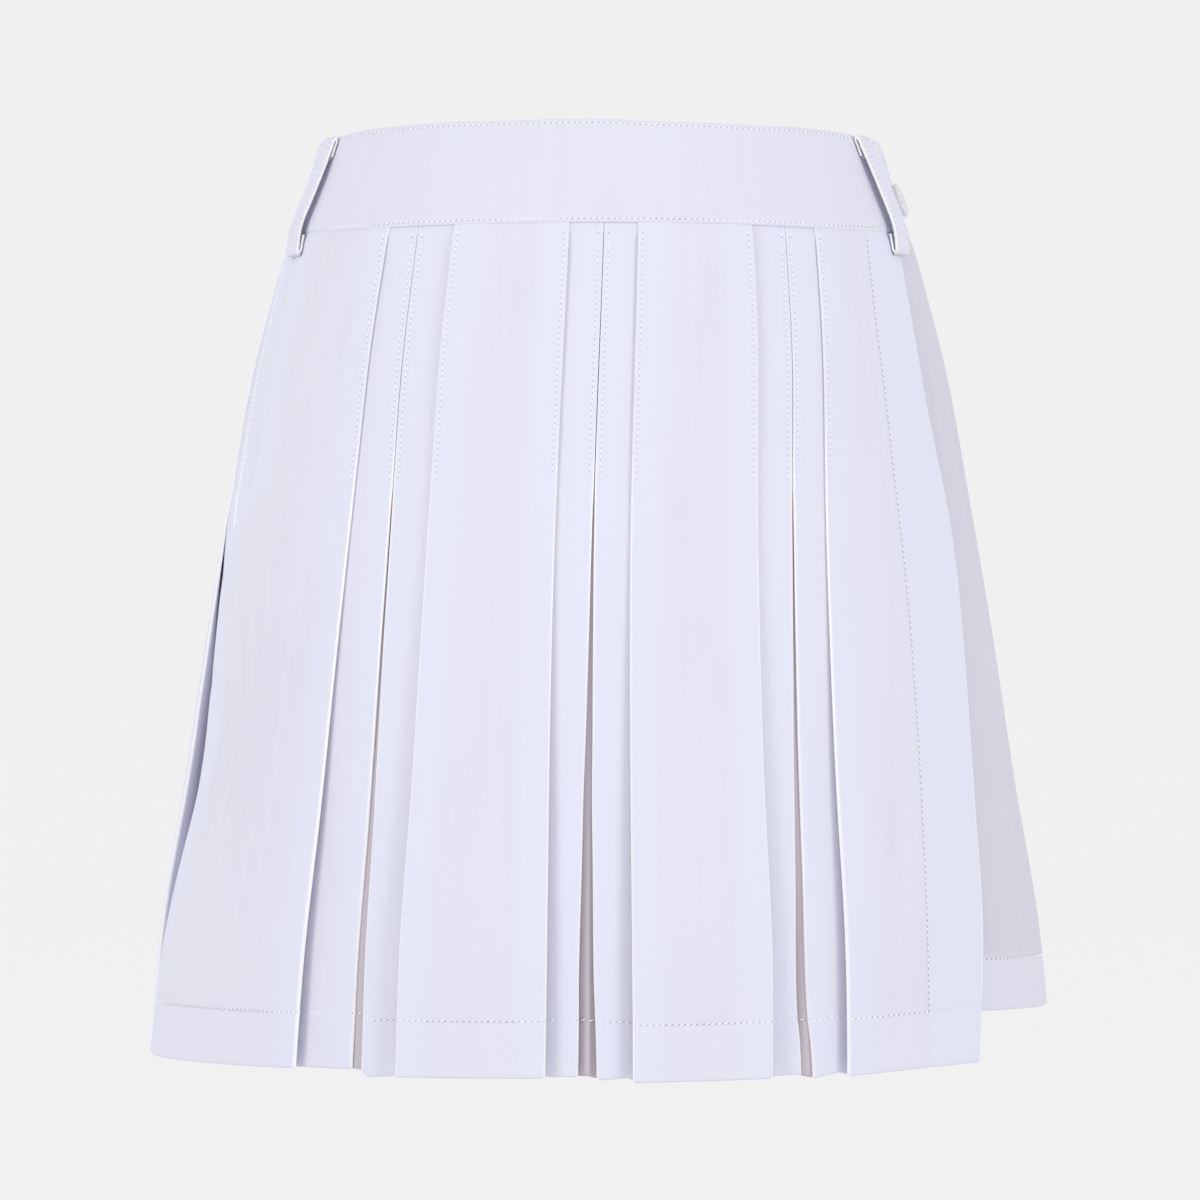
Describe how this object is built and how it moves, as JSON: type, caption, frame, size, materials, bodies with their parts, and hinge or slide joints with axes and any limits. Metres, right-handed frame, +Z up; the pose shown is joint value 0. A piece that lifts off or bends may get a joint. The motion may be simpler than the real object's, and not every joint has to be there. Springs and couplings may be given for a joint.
{
  "type": "wrap skort",
  "caption": "Hollow wrap skort as worn: an A-line wrap skirt with inverted box pleats over plain shorts, on a buttoned waistband with belt loops.",
  "frame": {"origin": "middle of the waistband ring, halfway up its height, where the wearer's waist holds it", "axes": "+Z up out of the waist opening, -Y the front of the garment, +X the wearer's left, where the wrap ends and buttons"},
  "size_m": [0.3946, 0.3008, 0.3975],
  "materials": {
    "skirt_cloth": "smooth matte woven polyester",
    "waistband_cloth": "smooth matte woven polyester, interfaced",
    "shorts_cloth": "smooth matte stretch knit",
    "button": "polished, with a dished face"
  },
  "bodies": {
    "root": {"waistband": "waistband_cloth", "skirt_front_wrap": "skirt_cloth", "skirt_front_under": "skirt_cloth", "skirt_back": "skirt_cloth", "shorts_front_left": "shorts_cloth", "shorts_front_right": "shorts_cloth", "shorts_back_left": "shorts_cloth", "shorts_back_right": "shorts_cloth", "belt_loop_left": "waistband_cloth", "belt_loop_right": "waistband_cloth", "button": "button"}
  },
  "joints": []
}
